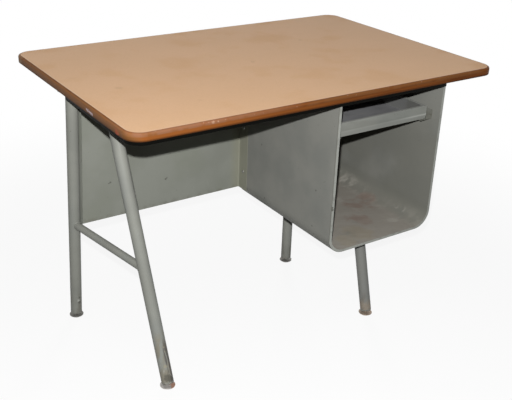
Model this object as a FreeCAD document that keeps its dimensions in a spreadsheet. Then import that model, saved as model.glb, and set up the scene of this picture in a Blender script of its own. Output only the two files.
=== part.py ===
import FreeCAD, Part
import math
import os
import re
import Sketcher

# Single-pedestal school desk: laminate top, sheet-steel pedestal with a pull-out pencil tray, modesty
# panel and slanted tube legs on swivel glides. The origin is on the floor under the middle of the top,
# +X runs to the pedestal side, +Y to the back and +Z up. Lengths are in millimetres, angles in degrees.
sizes = {
    # Top
    "top_width": 1206,
    "top_depth": 796,
    "top_height": 760,
    "top_thickness": 22,
    "top_corner_radius": 46,
    "laminate_thickness": 1.2,
    "backing_thickness": 0.8,
    "band_thickness": 7,
    "band_upper_round": 6,
    "band_lower_round": 1.5,
    "glue_gap": 0.1,
    # Pedestal
    "sheet_gauge": 1.2,
    "sheet_clearance": 0.2,
    "right_overhang": 191,
    "front_setback": 13,
    "pedestal_width": 397,
    "pedestal_depth": 487,
    "pedestal_height": 469,
    "pedestal_corner_radius": 55,
    "front_return": 8.5,
    "front_edge_round": 2,
    "top_flange": 28,
    "back_flange": 15,
    # Tray runners
    "runner_gauge": 1.5,
    "runner_setback": 39,
    "runner_length": 400,
    "runner_ledge": 45,
    "runner_web": 25,
    "runner_stop": 9,
    "runner_stop_setback": 80,
    "runner_tab": 12,
    "runner_tab_gap": 1.5,
    # Pencil tray
    "tray_gauge": 1.2,
    "tray_side_gap": 17.5,
    "tray_setback": 40,
    "tray_drop": 81,
    "tray_depth": 380,
    "tray_height": 42,
    "tray_rim": 8,
    "tray_corner_radius": 16,
    "tray_base_round": 4,
    "tray_skirt": 41,
    "tray_skirt_bend": 26,
    "tray_skirt_tuck": 3,
    "tray_skirt_crease": 20,
    "tray_edge_round": 1,
    "tray_travel": 260,
    "slide_gap": 0.3,
    # Clips that hook the tray under its runners
    "keeper_gauge": 1.5,
    "keeper_length": 24,
    "keeper_tab": 16,
    "keeper_hook": 10,
    "keeper_gap": 0.8,
    # Tubes
    "leg_diameter": 34,
    "leg_wall": 1.5,
    "weld_gap": 0.2,
    "stretcher_diameter": 22,
    "stretcher_wall": 1.5,
    "stretcher_height": 327,
    # Left leg frame, turned in plan about its rear foot
    "left_foot_inset": 22,
    "left_foot_gap": 10.5,
    "left_foot_span": 461,
    "left_toe_in": 9.65,
    "rear_left_lean": 4.7,
    "front_left_lean": 16.65,
    "plate_gauge": 5,
    "plate_width": 44,
    "plate_overrun": 45,
    "plate_screw_edge": 14,
    # Right legs under the pedestal
    "right_leg_offset": 166,
    "right_leg_inset": 62,
    "right_foot_span": 406,
    "right_toe_in": 3.2,
    "front_right_lean": 14.2,
    "bearer_gauge": 2.5,
    "bearer_side_gap": 2,
    "bearer_flange": 18,
    "bearer_overrun": 40,
    # Swivel glides
    "pivot_height": 16,
    "ball_radius": 6,
    "ball_play": 0.3,
    "collar_below": 2.5,
    "collar_above": 1.5,
    "plug_length": 26,
    "plug_fit": 0.1,
    "glide_diameter": 42,
    "glide_contact": 33,
    "glide_flare": 3.5,
    "glide_rim": 1.4,
    "glide_crown": 6,
    "glide_neck": 7,
    "glide_round": 0.7,
    # Modesty panel
    "panel_height": 437,
    "panel_right_flange": 47,
    "panel_left_flange": 84,
    "panel_flange_lap": 15,
    "panel_bend_radius": 4,
    "panel_top_flange": 24,
    "panel_hem": 10,
    # Screws
    "screw_diameter": 4.2,
    "screw_length": 16,
    "screw_head_diameter": 9,
    "screw_head_height": 2.6,
    "screw_head_round": 1.5,
    "screw_play": 0.4,
    "screw_tip_room": 1,
    "tapping_screw_length": 9,
    "top_screw_margin": 50,
    "panel_screw_drop": 70,
    "panel_screw_pitch": 152,
    "panel_screw_edge": 22,
}

doc = FreeCAD.newDocument("SchoolDesk")
sheet = doc.addObject("Spreadsheet::Sheet", "Sizes")
for row, (alias, value) in enumerate(sizes.items(), start=1):
    sheet.set(f"A{row}", alias)
    sheet.set(f"B{row}", str(value))
    sheet.setAlias(f"B{row}", alias)
doc.recompute()

alias_words = re.compile(r"\b(" + "|".join(sizes) + r")\b")
nodes = []

# Levels and faces that several pieces share
under_top = "(top_height - top_thickness)"
pedestal_x = "(top_width / 2 - right_overhang - pedestal_width)"
pedestal_y = "(-top_depth / 2 + front_setback)"
pedestal_z = f"({under_top} - pedestal_height)"
pedestal_rear = f"({pedestal_y} + pedestal_depth)"
panel_y = f"({pedestal_rear} - sheet_gauge)"
panel_z = f"({under_top} - panel_height)"
ledge_z = "(pedestal_height - tray_drop - tray_height - slide_gap)"
rear_left_x = "(-top_width / 2 + left_foot_inset)"
rear_left_y = f"({panel_y} - left_foot_gap)"
left_leg_top = f"({under_top} - plate_gauge - weld_gap)"
rear_right_x = f"({pedestal_x} + right_leg_offset)"
rear_right_y = f"({pedestal_rear} - right_leg_inset)"
right_leg_top = f"({pedestal_z} - bearer_gauge - weld_gap)"
screw_hole = "(screw_diameter + screw_play)"


def bind(item, path, text):
    item.setExpression(path, alias_words.sub(r"Sizes.\1", text))


def place(item, x, y, z, yaw="0", roll="0"):
    bind(item, "Placement.Base.x", x)
    bind(item, "Placement.Base.y", y)
    bind(item, "Placement.Base.z", z)
    bind(item, "Placement.Rotation.Yaw", yaw)
    bind(item, "Placement.Rotation.Roll", roll)


def node(item, label):
    item.Label = label
    nodes.append(item)
    return item


def new_body(label):
    return node(doc.addObject("PartDesign::Body", label), label)


def sketch_on(body, role, lift="0"):
    plane = next(feature for feature in body.Origin.OriginFeatures if feature.Role == role)
    sketch = body.newObject("Sketcher::SketchObject", "Sketch")
    sketch.AttachmentSupport = (plane, [""])
    sketch.MapMode = "FlatFace"
    bind(sketch, "AttachmentOffset.Base.z", lift)
    return sketch


def pin(sketch, geometry, point, guess, x, y):
    for kind, start, text in (("DistanceX", guess.x, x), ("DistanceY", guess.y, y)):
        index = sketch.addConstraint(Sketcher.Constraint(kind, -1, 1, geometry, point, start))
        bind(sketch, f"Constraints[{index}]", text)


def polygon(sketch, points):
    count = len(points)
    first = sketch.GeometryCount
    turns = [2 * math.pi * index / count for index in range(count)]
    guesses = [FreeCAD.Vector(math.cos(turn), math.sin(turn), 0) for turn in turns]
    for index in range(count):
        sketch.addGeometry(Part.LineSegment(guesses[index], guesses[(index + 1) % count]))
    for index in range(count):
        following = first + (index + 1) % count
        sketch.addConstraint(Sketcher.Constraint("Coincident", first + index, 2, following, 1))
    for index, (x, y) in enumerate(points):
        pin(sketch, first + index, 1, guesses[index], x, y)
    return first


def rectangle(sketch, x_low, y_low, x_high, y_high):
    return polygon(sketch, [(x_low, y_low), (x_high, y_low), (x_high, y_high), (x_low, y_high)])


def round_corners(sketch, corners, radius):
    doc.recompute()
    for corner in corners:
        guess = 1.0
        before = sketch.GeometryCount
        sketch.fillet(corner, 1, guess, True, True)
        added = range(before, sketch.GeometryCount)
        arc = next(index for index in added if isinstance(sketch.Geometry[index], Part.ArcOfCircle))
        index = sketch.addConstraint(Sketcher.Constraint("Radius", arc, guess))
        bind(sketch, f"Constraints[{index}]", radius)


def circles(sketch, spots, diameter):
    for x, y in spots:
        centre = FreeCAD.Vector(1, 1, 0)
        index = sketch.addGeometry(Part.Circle(centre, FreeCAD.Vector(0, 0, 1), 1))
        pin(sketch, index, 3, centre, x, y)
        size = sketch.addConstraint(Sketcher.Constraint("Diameter", index, 2.0))
        bind(sketch, f"Constraints[{size}]", diameter)


def pad(body, sketch, length, flip=False):
    feature = body.newObject("PartDesign::Pad", "Pad")
    feature.Profile = sketch
    feature.Reversed = flip
    bind(feature, "Length", length)
    doc.recompute()
    return feature


def pocket(body, sketch, length, flip=False):
    before = body.Shape.Volume
    feature = body.newObject("PartDesign::Pocket", "Pocket")
    feature.Profile = sketch
    feature.Reversed = flip
    bind(feature, "Length", length)
    doc.recompute()
    if body.Shape.Volume > before - 1e-6:
        raise ValueError(f"a pocket of {body.Label} removes nothing")
    return feature


def revolve(body, sketch):
    feature = body.newObject("PartDesign::Revolution", "Revolution")
    feature.Profile = sketch
    feature.ReferenceAxis = (sketch, ["V_Axis"])
    feature.Angle = 360
    doc.recompute()
    return feature


def ball(body, kind, radius):
    feature = body.newObject(kind, "Ball")
    bind(feature, "Radius", radius)
    doc.recompute()
    return feature


def fillet(body, feature, edges, radius):
    rounded = body.newObject("PartDesign::Fillet", "Fillet")
    rounded.Base = (feature, edges)
    bind(rounded, "Radius", radius)
    doc.recompute()
    return rounded


def shell(body, feature, faces, gauge):
    skin = body.newObject("PartDesign::Thickness", "Thickness")
    skin.Base = (feature, faces)
    skin.Reversed = True
    bind(skin, "Value", gauge)
    doc.recompute()
    return skin


def edges_where(feature, test):
    edges = feature.Shape.Edges
    return [f"Edge{index}" for index, edge in enumerate(edges, start=1) if test(edge)]


def faces_facing(feature, direction):
    faces = feature.Shape.Faces
    flat = [index for index, face in enumerate(faces) if isinstance(face.Surface, Part.Plane)]
    square = [index for index in flat if faces[index].normalAt(0, 0).dot(direction) > 0.999]
    furthest = max(faces[index].CenterOfMass.dot(direction) for index in square)
    return [index for index in square if faces[index].CenterOfMass.dot(direction) > furthest - 0.01]


def face_names(feature, *directions):
    return [f"Face{index + 1}" for direction in directions for index in faces_facing(feature, direction)]


def outer_edges(feature, direction):
    face = feature.Shape.Faces[faces_facing(feature, direction)[0]]
    wanted = face.OuterWire.Edges
    return edges_where(feature, lambda edge: any(edge.isSame(other) for other in wanted))


def is_along(edge, axis):
    if not isinstance(edge.Curve, Part.Line):
        return False
    return abs(edge.Curve.Direction.dot(axis)) > 0.999


def is_at_radius(edge, radius):
    return isinstance(edge.Curve, Part.Circle) and abs(edge.Curve.Radius - radius) < 1e-3


def drill(body, role, lift, spots, depth, flip=False):
    sketch = sketch_on(body, role, lift)
    circles(sketch, spots, screw_hole)
    pocket(body, sketch, depth, flip)
    return sketch


def centres(sketch):
    return [circle.Center for circle in sketch.Geometry]


x_axis = FreeCAD.Vector(1, 0, 0)
y_axis = FreeCAD.Vector(0, 1, 0)
z_axis = FreeCAD.Vector(0, 0, 1)


def left_frame(along, aside="0"):
    x = f"({rear_left_x} + sin(left_toe_in) * ({along}) + cos(left_toe_in) * ({aside}))"
    y = f"({rear_left_y} - cos(left_toe_in) * ({along}) + sin(left_toe_in) * ({aside}))"
    return x, y


def right_frame(along):
    x = f"({rear_right_x} + sin(right_toe_in) * ({along}))"
    y = f"({rear_right_y} - cos(right_toe_in) * ({along}))"
    return x, y


def rear_left_at(height):
    return f"(tan(rear_left_lean) * ({height} - pivot_height))"


def front_left_at(height):
    return f"(left_foot_span - tan(front_left_lean) * ({height} - pivot_height))"


def front_right_at(height):
    return f"(right_foot_span - tan(front_right_lean) * ({height} - pivot_height))"


# Screws through the flanges and the leg plate into the core of the top
pedestal_screw_x = (
    f"{pedestal_x} + top_flange / 2",
    f"{pedestal_x} + pedestal_width - top_flange / 2",
)
pedestal_screw_y = (
    f"{pedestal_y} + top_screw_margin",
    f"{pedestal_y} + pedestal_depth / 2",
    f"{pedestal_rear} - top_screw_margin",
)
plate_start = f"({rear_left_at(left_leg_top)} - plate_overrun)"
plate_end = f"({front_left_at(left_leg_top)} + plate_overrun)"
plate_screw_along = (
    f"({plate_start} + plate_screw_edge)",
    f"(({plate_start} + {plate_end}) / 2)",
    f"({plate_end} - plate_screw_edge)",
)
flange_aside = "(leg_diameter / 2 + weld_gap)"


def left_flange_x(y, aside):
    return f"({rear_left_x} + tan(left_toe_in) * ({rear_left_y} - {y}) + ({aside}) / cos(left_toe_in))"


panel_left = left_flange_x(pedestal_rear, flange_aside)
panel_screw_x = (
    f"({panel_left} + top_screw_margin)",
    f"(({panel_left} + {pedestal_x}) / 2)",
    f"({pedestal_x} - top_screw_margin)",
)
pedestal_spots = [(x, y) for x in pedestal_screw_x for y in pedestal_screw_y]
plate_spots = [left_frame(along) for along in plate_screw_along]
panel_spots = [(x, f"{pedestal_rear} + panel_top_flange / 2") for x in panel_screw_x]
top_spots = pedestal_spots + plate_spots + panel_spots


# Layers of the top, inside the edge band
def layer(label, inset, base, thickness):
    body = new_body(label)
    sketch = sketch_on(body, "XY_Plane")
    x = f"(top_width / 2 - ({inset}))"
    y = f"(top_depth / 2 - ({inset}))"
    rectangle(sketch, f"-{x}", f"-{y}", x, y)
    block = pad(body, sketch, thickness)
    upright = edges_where(block, lambda edge: is_along(edge, z_axis))
    fillet(body, block, upright, f"top_corner_radius - ({inset})")
    place(body, "0", "0", base)
    return body


inside_band = "band_thickness + glue_gap"
core_thickness = "top_thickness - laminate_thickness - backing_thickness"
pilot_depth = "screw_length - sheet_gauge - backing_thickness + screw_tip_room"
layer("top_laminate", inside_band, "top_height - laminate_thickness", "laminate_thickness")
top_board = layer("top_board", inside_band, f"{under_top} + backing_thickness", core_thickness)
pilot_holes = drill(top_board, "XY_Plane", "0", top_spots, pilot_depth, True)
backing = layer("top_backing_sheet", inside_band, under_top, "backing_thickness")
drill(backing, "XY_Plane", "0", top_spots, "backing_thickness", True)

# Wood edge band, flush with the laminate, with its upper edge well rounded
band = layer("top_edge_band", "0", under_top, "top_thickness")
ring = shell(band, band.Tip, face_names(band.Tip, z_axis, -z_axis), "band_thickness")
eased = fillet(band, ring, outer_edges(ring, z_axis), "band_upper_round")
fillet(band, eased, outer_edges(eased, -z_axis), "band_lower_round")


# Slanted tube leg: its axis passes through the glide's ball, its upper end is cut level under a plate
def leg(label, foot, toe, lean, top):
    body = new_body(label)
    reach = f"(({top} - pivot_height) / cos({lean}))"
    section = sketch_on(body, "XY_Plane", "collar_above")
    circles(section, [("0", "0")], "leg_diameter")
    circles(section, [("0", "0")], "leg_diameter - 2 * leg_wall")
    pad(body, section, f"{reach} + leg_diameter - collar_above")
    mitre = sketch_on(body, "YZ_Plane", "leg_diameter")
    rise = f"leg_diameter * tan({lean})"
    points = [
        ("-leg_diameter", f"{reach} - {rise}"),
        ("leg_diameter", f"{reach} + {rise}"),
        ("leg_diameter", f"{reach} + 2 * leg_diameter"),
        ("-leg_diameter", f"{reach} + 2 * leg_diameter"),
    ]
    polygon(mitre, points)
    pocket(body, mitre, "2 * leg_diameter")
    place(body, foot[0], foot[1], "pivot_height", toe, f"-({lean})")
    return body


# Ball-socket plug pressed into the end of a leg, with a collar as wide as the tube
def glide_plug(label, foot, toe, lean):
    body = new_body(label)
    profile = sketch_on(body, "XZ_Plane")
    core = "(leg_diameter / 2 - leg_wall - plug_fit)"
    points = [
        ("0", "-collar_below"),
        ("leg_diameter / 2", "-collar_below"),
        ("leg_diameter / 2", "collar_above"),
        (core, "collar_above"),
        (core, "plug_length"),
        ("0", "plug_length"),
    ]
    polygon(profile, points)
    revolve(body, profile)
    ball(body, "PartDesign::SubtractiveSphere", "ball_radius + ball_play")
    place(body, foot[0], foot[1], "pivot_height", toe, f"-({lean})")


# Swivel base: a flared button that stands level, with the ball on its neck
def glide(label, foot):
    body = new_body(label)
    profile = sketch_on(body, "XZ_Plane")
    points = [
        ("0", "-pivot_height"),
        ("glide_contact / 2", "-pivot_height"),
        ("glide_diameter / 2", "-pivot_height + glide_flare"),
        ("glide_diameter / 2", "-pivot_height + glide_flare + glide_rim"),
        ("glide_neck / 2", "-pivot_height + glide_crown"),
        ("glide_neck / 2", "0"),
        ("0", "0"),
    ]
    polygon(profile, points)
    button = revolve(body, profile)
    rims = edges_where(button, lambda edge: is_at_radius(edge, sheet.glide_diameter / 2))
    fillet(body, button, rims, "glide_round")
    ball(body, "PartDesign::AdditiveSphere", "ball_radius")
    place(body, foot[0], foot[1], "pivot_height")


leg_list = {
    "rear_left": (left_frame("0"), "left_toe_in", "-rear_left_lean", left_leg_top),
    "front_left": (left_frame("left_foot_span"), "left_toe_in", "front_left_lean", left_leg_top),
    "rear_right": (right_frame("0"), "right_toe_in", "0", right_leg_top),
    "front_right": (right_frame("right_foot_span"), "right_toe_in", "front_right_lean", right_leg_top),
}
legs = {}
for corner, (foot, toe, lean, top) in leg_list.items():
    legs[corner] = leg(f"{corner}_leg", foot, toe, lean, top)
    glide_plug(f"{corner}_glide_plug", foot, toe, lean)
    glide(f"{corner}_glide", foot)


# Stretcher tube between the left legs, with both ends coped to the leg tubes
def cylinder(radius, height, x, y, z, yaw, roll):
    item = doc.addObject("Part::Cylinder", "Cylinder")
    bind(item, "Radius", radius)
    bind(item, "Height", height)
    place(item, x, y, z, yaw, roll)
    return item


def cut(base, tool):
    item = doc.addObject("Part::Cut", "Cut")
    item.Base = base
    item.Tool = tool
    return item


stretcher_start = rear_left_at("stretcher_height")
stretcher_length = f"{front_left_at('stretcher_height')} - {stretcher_start}"
stretcher_seat = (*left_frame(stretcher_start), "stretcher_height", "left_toe_in", "90")
tube_outside = cylinder("stretcher_diameter / 2", stretcher_length, *stretcher_seat)
tube_bore = cylinder("stretcher_diameter / 2 - stretcher_wall", stretcher_length, *stretcher_seat)
stretcher = cut(tube_outside, tube_bore)
for corner in ("rear_left", "front_left"):
    foot, toe, lean, top = leg_list[corner]
    cope = cylinder(flange_aside, f"{top} / cos({lean})", *foot, "pivot_height", toe, f"-({lean})")
    stretcher = cut(stretcher, cope)
node(stretcher, "left_stretcher")

# Flat bar across the tops of the left legs
plate = new_body("left_leg_plate")
plan = sketch_on(plate, "XY_Plane")
half_plate = "plate_width / 2"
bar = rectangle(plan, f"-{half_plate}", f"-{plate_end}", half_plate, f"-{plate_start}")
round_corners(plan, range(bar, bar + 4), "plate_screw_edge")
circles(plan, [("0", f"-{along}") for along in plate_screw_along], screw_hole)
pad(plate, plan, "plate_gauge")
place(plate, rear_left_x, rear_left_y, f"{under_top} - plate_gauge", "left_toe_in")

# Channel under the pedestal floor that carries the right legs
bearer = new_body("leg_bearer")
profile = sketch_on(bearer, "XZ_Plane", "-bearer_overrun")
inner = "(leg_diameter / 2 + bearer_side_gap)"
outer = f"({inner} + bearer_gauge)"
points = [
    (f"-{outer}", "0"),
    (f"-{outer}", "-bearer_flange"),
    (f"-{inner}", "-bearer_flange"),
    (f"-{inner}", "-bearer_gauge"),
    (inner, "-bearer_gauge"),
    (inner, "-bearer_flange"),
    (outer, "-bearer_flange"),
    (outer, "0"),
]
polygon(profile, points)
pad(bearer, profile, f"{front_right_at(right_leg_top)} + 2 * bearer_overrun")
place(bearer, rear_right_x, rear_right_y, pedestal_z, "right_toe_in")

# Screws of the modesty panel's end flanges, spaced down from the top
panel_screw_heights = [f"({under_top} - panel_screw_drop - {row} * panel_screw_pitch)" for row in range(3)]
wall_spots = [
    (f"{panel_y} - panel_right_flange + panel_screw_edge", height) for height in panel_screw_heights
]

# Pedestal: one U-shaped sheet with rounded lower corners, a narrow return round its front opening and
# flanges turned in under the top
pedestal = new_body("pedestal_shell")
outline = sketch_on(pedestal, "XZ_Plane")
rectangle(outline, "0", "0", "pedestal_width", "pedestal_height")
round_corners(outline, (0, 1), "pedestal_corner_radius")
block = pad(pedestal, outline, "pedestal_depth", True)
walls = shell(pedestal, block, face_names(block, z_axis, y_axis), "sheet_gauge")
mouth = sketch_on(pedestal, "XZ_Plane")
opening = ("front_return", "front_return", "pedestal_width - front_return", "pedestal_height + front_return")
rectangle(mouth, *opening)
round_corners(mouth, (0, 1), "pedestal_corner_radius - front_return")
pocket(pedestal, mouth, "2 * sheet_gauge")
bent = fillet(pedestal, pedestal.Tip, outer_edges(pedestal.Tip, -y_axis)[:1], "front_edge_round")
flanges = sketch_on(pedestal, "XY_Plane", "pedestal_height - sheet_gauge")
rectangle(flanges, "0", "front_edge_round", "top_flange", "pedestal_depth")
rectangle(flanges, "pedestal_width - top_flange", "front_edge_round", "pedestal_width", "pedestal_depth")
local_spots = [(f"{x} - {pedestal_x}", f"{y} - {pedestal_y}") for x, y in pedestal_spots]
circles(flanges, local_spots, screw_hole)
pad(pedestal, flanges, "sheet_gauge")
local_wall_spots = [(f"{y} - {pedestal_y}", f"{z} - {pedestal_z}") for y, z in wall_spots]
drill(pedestal, "YZ_Plane", "0", local_wall_spots, "2 * sheet_gauge", True)
place(pedestal, pedestal_x, pedestal_y, pedestal_z)

# Pedestal back: a shallow pan that fits inside the walls, flush with their rear edges
back = new_body("pedestal_back")
outline = sketch_on(back, "XZ_Plane")
nest = "(sheet_gauge + sheet_clearance)"
rectangle(outline, nest, nest, f"pedestal_width - {nest}", f"pedestal_height - {nest}")
round_corners(outline, (0, 1), f"pedestal_corner_radius - {nest}")
block = pad(back, outline, "back_flange", True)
shell(back, block, face_names(block, -y_axis), "sheet_gauge")
place(back, pedestal_x, f"{pedestal_rear} - back_flange", pedestal_z)


# Right-hand profiles are the left-hand ones mirrored across the pedestal
def mirror_x(points, width):
    return [(f"{width} - ({x})", y) for x, y in points]


# Tray runners: angles with their webs up the pedestal walls, a tab turned up at the front of the ledge
# and a stop turned down below it
def runner(label, right):
    body = new_body(label)
    web = "(sheet_gauge + runner_gauge)"
    ledge = "(sheet_gauge + runner_ledge)"
    below = f"({ledge_z} - runner_gauge)"
    tab = "(front_return + tray_side_gap - runner_tab_gap)"
    angle = [
        ("sheet_gauge", below),
        (ledge, below),
        (ledge, ledge_z),
        (web, ledge_z),
        (web, f"{ledge_z} + runner_web"),
        ("sheet_gauge", f"{ledge_z} + runner_web"),
    ]
    upturn = [
        (web, ledge_z),
        (tab, ledge_z),
        (tab, f"{ledge_z} + runner_tab"),
        (web, f"{ledge_z} + runner_tab"),
    ]
    stop = [
        (web, below),
        (ledge, below),
        (ledge, f"{ledge_z} - runner_stop"),
        (web, f"{ledge_z} - runner_stop"),
    ]
    strips = (
        (angle, "0", "runner_length"),
        (upturn, "0", "runner_gauge"),
        (stop, "runner_stop_setback", "runner_gauge"),
    )
    for points, behind, length in strips:
        profile = sketch_on(body, "XZ_Plane", f"-(runner_setback + {behind})")
        polygon(profile, mirror_x(points, "pedestal_width") if right else points)
        pad(body, profile, length, True)
    place(body, pedestal_x, pedestal_y, pedestal_z)


runner("left_tray_runner", False)
runner("right_tray_runner", True)

# Pencil tray: a pressed pan with a flat rim and a front skirt that tucks in at its lower edge
tray_width = "(pedestal_width - 2 * (front_return + tray_side_gap))"
tray_x = f"({pedestal_x} + front_return + tray_side_gap)"
tray_y = f"({pedestal_y} + tray_setback)"
tray_z = f"({under_top} - tray_drop)"
tray = new_body("pencil_tray")
plan = sketch_on(tray, "XY_Plane", "-tray_height")
pan = rectangle(plan, "tray_rim", "tray_rim", f"{tray_width} - tray_rim", "tray_depth - tray_rim")
round_corners(plan, range(pan, pan + 4), "tray_corner_radius")
block = pad(tray, plan, "tray_height")
dished = fillet(tray, block, outer_edges(block, -z_axis)[:1], "tray_base_round")
shell(tray, dished, face_names(dished, z_axis), "tray_gauge")
rim = sketch_on(tray, "XY_Plane", "-tray_gauge")
rectangle(rim, "0", "0", tray_width, "tray_depth")
lip = "(tray_rim + tray_gauge)"
hole = rectangle(rim, lip, lip, f"{tray_width} - {lip}", f"tray_depth - {lip}")
round_corners(rim, range(hole, hole + 4), "tray_corner_radius - tray_gauge")
pad(tray, rim, "tray_gauge")
skirt = sketch_on(tray, "YZ_Plane")
points = [
    ("0", "0"),
    ("tray_gauge", "0"),
    ("tray_gauge", "-tray_skirt_bend"),
    ("tray_skirt_tuck + tray_gauge", "-tray_skirt"),
    ("tray_skirt_tuck", "-tray_skirt"),
    ("0", "-tray_skirt_bend"),
]
polygon(skirt, points)
round_corners(skirt, (2,), "tray_skirt_crease")
round_corners(skirt, (5,), "tray_skirt_crease + tray_gauge")
hung = pad(tray, skirt, tray_width)


def is_front_edge(edge):
    return is_along(edge, x_axis) and abs(edge.CenterOfMass.y) + abs(edge.CenterOfMass.z) < 1e-3


fillet(tray, hung, edges_where(hung, is_front_edge), "tray_edge_round")
place(tray, tray_x, tray_y, tray_z)


# Clips under the tray that hook below the ledges and meet the stops at full travel
def keeper(label, right):
    body = new_body(label)
    profile = sketch_on(body, "XZ_Plane")
    start = "(sheet_gauge + runner_ledge + keeper_gap)"
    hooked = "(-slide_gap - runner_gauge - keeper_gap)"
    points = [
        (f"{start} + keeper_gauge + keeper_tab", "0"),
        (start, "0"),
        (start, hooked),
        (f"{start} - keeper_gap - keeper_hook", hooked),
        (f"{start} - keeper_gap - keeper_hook", f"{hooked} - keeper_gauge"),
        (f"{start} + keeper_gauge", f"{hooked} - keeper_gauge"),
        (f"{start} + keeper_gauge", "-keeper_gauge"),
        (f"{start} + keeper_gauge + keeper_tab", "-keeper_gauge"),
    ]
    polygon(profile, mirror_x(points, "pedestal_width") if right else points)
    pad(body, profile, "keeper_length", True)
    stop_y = f"{pedestal_y} + runner_setback + runner_stop_setback + runner_gauge"
    place(body, pedestal_x, f"{stop_y} + tray_travel + slide_gap", f"{tray_z} - tray_height")


keeper("left_tray_keeper", False)
keeper("right_tray_keeper", True)

# Modesty panel: one sheet bent round into two end flanges, with a flange under the top and a hem below
panel = new_body("modesty_panel")
plan = sketch_on(panel, "XY_Plane")
inner_aside = f"({flange_aside} + sheet_gauge)"
left_tip = f"({panel_y} - panel_left_flange)"
right_tip = f"({panel_y} - panel_right_flange)"
right_inner = f"({pedestal_x} - sheet_gauge)"
points = [
    (pedestal_x, right_tip),
    (pedestal_x, pedestal_rear),
    (panel_left, pedestal_rear),
    (left_flange_x(left_tip, flange_aside), left_tip),
    (left_flange_x(left_tip, inner_aside), left_tip),
    (left_flange_x(panel_y, inner_aside), panel_y),
    (right_inner, panel_y),
    (right_inner, right_tip),
]
polygon(plan, points)
round_corners(plan, (1, 2), "panel_bend_radius + sheet_gauge")
round_corners(plan, (5, 6), "panel_bend_radius")
pad(panel, plan, "panel_height")
bend_room = "(panel_bend_radius + 2 * sheet_gauge)"
turned_in = (("panel_height - sheet_gauge", "panel_top_flange"), ("0", "panel_hem"))
for level, reach in turned_in:
    strip = sketch_on(panel, "XY_Plane", level)
    ends = (f"{panel_left} + {bend_room}", f"{pedestal_x} - {bend_room}")
    rectangle(strip, ends[0], panel_y, ends[1], f"{pedestal_rear} + {reach}")
    if reach == "panel_top_flange":
        circles(strip, panel_spots, screw_hole)
    pad(panel, strip, "sheet_gauge")
clear = sketch_on(panel, "XY_Plane", "panel_height")
clear_x = (f"{panel_left} - plate_width", f"{left_flange_x(left_tip, inner_aside)} + weld_gap")
rectangle(clear, clear_x[0], f"{left_tip} - weld_gap", clear_x[1], f"{panel_y} - panel_bend_radius")
pocket(panel, clear, "plate_gauge + sheet_clearance")
panel_wall_spots = [(y, f"{z} - {panel_z}") for y, z in wall_spots]
before_wall = f"{pedestal_x} - 2 * sheet_gauge"
wall_holes = drill(panel, "YZ_Plane", before_wall, panel_wall_spots, "3 * sheet_gauge", True)


# Sketch in the upright plane of the left legs, with the rear foot as its origin
def left_frame_sketch(body):
    sketch = sketch_on(body, "YZ_Plane", rear_left_x)
    sketch.AttachmentOffset = FreeCAD.Placement(FreeCAD.Vector(), FreeCAD.Rotation(y_axis, 1))
    bind(sketch, "AttachmentOffset.Base.x", rear_left_y)
    bind(sketch, "AttachmentOffset.Base.z", rear_left_x)
    bind(sketch, "AttachmentOffset.Rotation.Angle", "left_toe_in")
    return sketch


# The left flange is screwed to the leg, and its front edge slants with the leg
leg_spots = [(f"-{rear_left_at(height)}", f"{height} - {panel_z}") for height in panel_screw_heights]
flange_holes = left_frame_sketch(panel)
circles(flange_holes, leg_spots, screw_hole)
pocket(panel, flange_holes, f"{inner_aside} + sheet_gauge", True)
slant = left_frame_sketch(panel)
before_flange = f"-{rear_left_at(under_top)} - panel_left_flange"
points = [
    (f"-{rear_left_at(panel_z)} - panel_flange_lap", "0"),
    (f"-{rear_left_at(under_top)} - panel_flange_lap", "panel_height"),
    (before_flange, "panel_height"),
    (before_flange, "0"),
]
polygon(slant, points)
pocket(panel, slant, f"{inner_aside} + sheet_gauge", True)
place(panel, "0", "0", panel_z)

# The same screws enter the inner side of the rear left leg
along_leg = [("0", f"({height} - pivot_height) / cos(rear_left_lean)") for height in panel_screw_heights]
leg_holes = drill(legs["rear_left"], "YZ_Plane", "0", along_leg, "leg_diameter", True)


# Pan-head screw with its seat at the origin and its shank along +Z
def screw_master(name, length):
    body = doc.addObject("PartDesign::Body", name)
    profile = sketch_on(body, "XZ_Plane")
    points = [
        ("0", "-screw_head_height"),
        ("screw_head_diameter / 2", "-screw_head_height"),
        ("screw_head_diameter / 2", "0"),
        ("screw_diameter / 2", "0"),
        ("screw_diameter / 2", f"{length} - screw_diameter"),
        ("0", length),
    ]
    polygon(profile, points)
    turned = revolve(body, profile)
    lowest = outer_edges(turned, -z_axis)
    fillet(body, turned, lowest, "screw_head_round")
    return body


def screw_group(label, master, seats):
    copies = []
    for point, direction in seats:
        copy = master.Shape.copy()
        copy.Placement = FreeCAD.Placement(point, FreeCAD.Rotation(z_axis, direction))
        copies.append(copy)
    group = node(doc.addObject("Part::Feature", label), label)
    group.Shape = Part.makeCompound(copies)
    return group


doc.recompute()
wood_screw = screw_master("WoodScrew", "screw_length")
tapping_screw = screw_master("TappingScrew", "tapping_screw_length")
top_underside = sheet.top_height - sheet.top_thickness
plate_count = range(len(pedestal_spots), len(pedestal_spots) + len(plate_spots))
top_seats = []
for index, centre in enumerate(centres(pilot_holes)):
    gauge = sheet.plate_gauge if index in plate_count else sheet.sheet_gauge
    seat = FreeCAD.Vector(centre.x, centre.y, top_underside - gauge)
    top_seats.append((seat, z_axis))
screw_group("top_screws", wood_screw, top_seats)

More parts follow.
